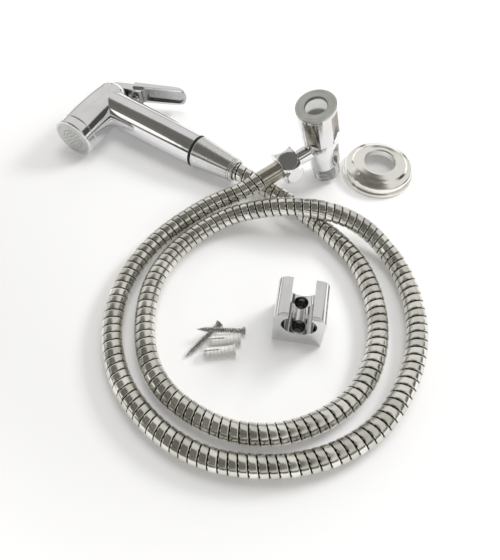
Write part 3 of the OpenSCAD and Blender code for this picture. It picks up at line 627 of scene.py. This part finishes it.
def inlet_wave(angle, r, z):
    return pipe_thread(1.0, 14.6)(angle, r, z) if r > THREADED_R else r


def outlet_wave(angle, r, z):
    return pipe_thread(23.3, 28.8)(angle, r, z) if r > THREADED_R else r


def make_valve_body():
    """The valve's turned body, threaded inlet and outlet neck."""
    edge = 0.6
    inlet = lathe("inlet", dense([(6.0, 1.0), (6.0, 0.0), (9.6, 0.0), (THREAD_R, 0.8), (THREAD_R, 15.2),
                                  (9.4, 15.6), (9.4, 16.4)], 0.2), 96, inlet_wave)
    shell = lathe("shell", [(9.0, BODY_FROM), (VALVE_R - edge, BODY_FROM), (VALVE_R - 0.2, 16.2),
                            (VALVE_R, 16.6), (VALVE_R, 41.4), (VALVE_R - 0.2, 41.8),
                            (VALVE_R - edge, BODY_TO), (8.5, BODY_TO), (8.5, 27.0)], 128)
    neck = lathe("neck", dense([(5.5, 9.0), (5.5, 22.4), (9.6, 22.6), (THREAD_R, 23.2), (THREAD_R, 28.8),
                                (9.6, 29.4), (3.0, 29.4), (3.0, 12.0)], 0.25), 96, outlet_wave)
    neck.transform(Matrix.Translation((0, 0, OUTLET_HEIGHT)) @ turn(90, "Y"))
    piece = placed("turned_valve_body", crisp(joined("turned_valve_body", [inlet, shell, neck])), VALVE)
    piece.data.materials.append(finishes["chrome"])
    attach(piece, "kit")
    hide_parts("valve_body")


def make_button():
    """The polished, slightly domed button let into the knob's top."""
    top, foot, rim, rise = 69.3, 66.4, 7.6, 1.0
    dome = [(rim * k / 24, top - rise * (k / 24) ** 2) for k in range(23, 0, -1)]
    profile = [(0.05, foot), (rim - 0.2, foot), (rim, foot + 0.2), (rim, top - rise - 0.25),
               (rim - 0.12, top - rise - 0.06)] + dome
    profile.append((0.05, top))
    mesh = lathe("domed_button", profile, 96)
    piece = placed("domed_button", mesh, VALVE)
    piece.data.materials.append(finishes["chrome"])
    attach(piece, "knob")
    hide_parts("knob_button")


def make_spring():
    """The spring under the trigger's stem."""
    turns, sides, steps = 5, 12, 48
    low, high, coil, wire, travel = -9.55, -2.57, 3.3, 0.4, 3.5
    rows = []
    for i in range(turns * steps + 1):
        a = 2 * math.pi * i / steps
        t = i / (turns * steps)
        out = np.array([math.cos(a), math.sin(a), 0])
        mid = coil * out + np.array([0, 0, low + (high - low) * t])
        ring = np.linspace(0, 2 * math.pi, sides, endpoint=False)
        rows.append([mid + wire * (math.cos(b) * out + math.sin(b) * np.array([0, 0, 1.0])) for b in ring])
    mesh = grid_mesh("return_spring", rows, ends=True)
    piece = placed("return_spring", mesh, STEM)
    piece.data.materials.append(finishes["zinc_steel"])
    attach(piece, "kit")
    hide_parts("stem_spring")
    tuple(heading(STEM, 0, 0, 1))
    tuple(spot(STEM, 0, 0, low - wire))
    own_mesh(piece)


def wood_screw(name):
    """Countersunk screw along +Z from its head, 30 mm long, with a coarse thread and a cross recess."""
    length, head_r, core, crest, pitch = 30.0, 2.8, 1.2, 1.85, 1.5
    neck, thread_from, run_in, taper = 2.2, 5.0, 1.2, 5.2
    cross_half, cross_reach, cross_depth = 0.5, 1.8, 1.2

    def wave(angle, r, z):
        if z < thread_from or r > neck:
            return r
        phase = (z / pitch - angle / (2 * math.pi)) % 1.0
        ridge = max(0.0, 1 - abs(phase - 0.5) / 0.28)
        start = min(1.0, (z - thread_from) / run_in)
        tip = min(1.0, max(0.0, (length - 0.3 - z) / taper))
        return (core * tip + 0.05) + (crest - core) * ridge * start * (0.25 + 0.75 * tip)

    profile = dense([(0.02, 0.0), (head_r - 0.15, 0.0), (head_r, 0.15), (head_r, 0.5), (1.75, 2.2),
                     (1.5, 2.8), (1.45, thread_from), (core, 5.4), (core, 25.0), (0.1, length)], 0.16)
    mesh = lathe(name, profile, 40, wave)
    # cross recess pressed into the head
    for v in mesh.vertices:
        if v.co.z < 0.3:
            r = math.hypot(v.co.x, v.co.y)
            a = math.atan2(v.co.y, v.co.x)
            arm = min(abs(r * math.sin(a)), abs(r * math.cos(a)))
            inside = max(0.0, 1 - arm / cross_half) * max(0.0, min(1.0, (cross_reach - r) / 0.4))
            v.co.z += cross_depth * min(1.0, inside * 2.2) * (1 - r / head_r)
    mesh.update()
    return mesh


def make_screws():
    """The two loose screws, one lying across the other."""
    along = turn(90, "Y")
    first = wood_screw("screw_a")
    first.transform(Matrix.Translation((8.9, -106.9, 2.83)) @ turn(182, "Z") @ turn(-9.2, "Y") @ along)
    second = wood_screw("screw_b")
    second.transform(Matrix.Translation((-6.7, -101.7, 2.83)) @ turn(227.5, "Z") @ turn(2.3, "Y") @ along)
    piece = placed("wood_screws", crisp(joined("wood_screws", [first, second]), 50), TABLE)
    piece.data.materials.append(finishes["zinc_steel"])
    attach(piece, "kit")
    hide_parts("wall_screws")


# ---------------------------------------------------------------- studio
ROOM_LEVEL = 0.76
WINDOW_LEVEL = 1.1
PAPER = 0.86
FLOOR_LIFT, OUTER_LIFT, FAR_LIFT = 0.165, 0.30, 0.25
FLOOR_HALF = 3
# lamps: name, place, width and power
LAMPS = (("overhead", (0.10, 0.25, 0.95), 0.60, 3.0), ("right", (0.75, 0.40, 0.60), 0.35, 5.5))


def patch(way, towards, wide, soft):
    """1 inside a round patch of the studio's walls, wide degrees from its middle to its edge."""
    middle = tuple(Vector(towards).normalized())
    edge, inner = (math.cos(math.radians(wide + side * soft)) for side in (1, -1))
    return way.dot(middle).ease(edge, inner)


def is_ray(sheet, *kinds):
    """1 for rays of these kinds."""
    ray = sheet.add("LightPath").socket.node.outputs
    return sum(Wire(sheet, ray["Is %s Ray" % kind]) for kind in kinds).call("MINIMUM", 1.0)


def make_floor():
    floor = bpy.data.objects.new("floor", bpy.data.meshes.new("floor"))
    corners = [(x * FLOOR_HALF, y * FLOOR_HALF, 0) for x, y in ((-1, -1), (1, -1), (1, 1), (-1, 1))]
    floor.data.from_pydata(corners, [], [(0, 1, 2, 3)])
    bpy.context.scene.collection.objects.link(floor)
    material = bpy.data.materials.new("white_paper")
    s = Sheet(material)
    seen = is_ray(s, "Camera", "Glossy", "Transmission")
    x, y = (s.place().dot(axis) for axis in ((1, 0, 0), (0, 1, 0)))
    out = (x * x + y * y).call("SQRT")
    strength = FLOOR_LIFT + out.ease(0.16, 0.34) * OUTER_LIFT + out.ease(0.4, 1.0) * FAR_LIFT
    paper = s.add("BsdfDiffuse", {}, {"Color": (PAPER, PAPER, PAPER, 1)})
    lift = s.add("Emission", {}, {"Color": (1, 1, 1, 1), "Strength": seen * strength})
    s.add("OutputMaterial", {}, {"Surface": s.add("AddShader", {}, {0: paper, 1: lift})})
    floor.data.materials.append(material)


def make_room():
    """A pale room with a broad dark shape overhead, a dark corner, dark skirting and ledge, and a window."""
    world = bpy.data.worlds.new("studio")
    bpy.context.scene.world = world
    w = Sheet(world)
    way = w.add("TexCoord", out="Generated", vector=True)
    height = way.dot((0, 0, 1))
    blur = w.noise(way, 2.2, 2.0)
    overhead = patch(way, (-0.30, -0.25, 0.92), 42, 5)
    corner = patch(way, (0.92, 0.12, 0.38), 13, 4)
    window = patch(way, (-0.86, -0.30, 0.42), 9, 2)
    skirting = (1 - height.ease(0.38, 0.50)) * way.dot((0, -1, 0)).ease(-0.35, 0.05)
    ledge = height.ease(0.17, 0.19) * (1 - height.ease(0.23, 0.26))
    dark = overhead * (0.93 - blur * 0.30)
    for shape in (corner * 0.9, skirting * 0.90, ledge * 0.85):
        dark = dark.call("MAXIMUM", shape)
    level = ROOM_LEVEL * (0.9 + blur * 0.2) * (1 - dark) + window * WINDOW_LEVEL
    # the camera sees a white backdrop; metal sees it only low down, where the paper runs into it
    backdrop = (1 - height.ease(0.155, 0.18)) * is_ray(w, "Glossy", "Transmission")
    backdrop = backdrop.call("MAXIMUM", is_ray(w, "Camera"))
    tone = dark.blend((1.0, 0.99, 0.965, 1), (1.0, 0.965, 0.87, 1))
    w.add("OutputWorld", {}, {"Surface": w.add("Background", {}, {
        "Color": backdrop.blend(tone, (1, 1, 1, 1)), "Strength": level * (1 - backdrop) + backdrop})})


def make_lamps():
    for name, at, size, power in LAMPS:
        lamp = bpy.data.lights.new(name, "AREA")
        lamp.shape = "RECTANGLE"
        lamp.size, lamp.size_y = size, size * 0.7
        lamp.energy = power
        light = bpy.data.objects.new(name, lamp)
        light.visible_glossy = False
        bpy.context.scene.collection.objects.link(light)
        aim(light, at, (0, 0, 0))


def make_studio():
    make_floor()
    make_room()
    make_lamps()
    bpy.context.scene.view_settings.view_transform = "Standard"


set_camera()
make_finishes()
make_hose()
dress_nodes()
make_valve_body()
make_button()
make_spring()
make_screws()
make_studio()
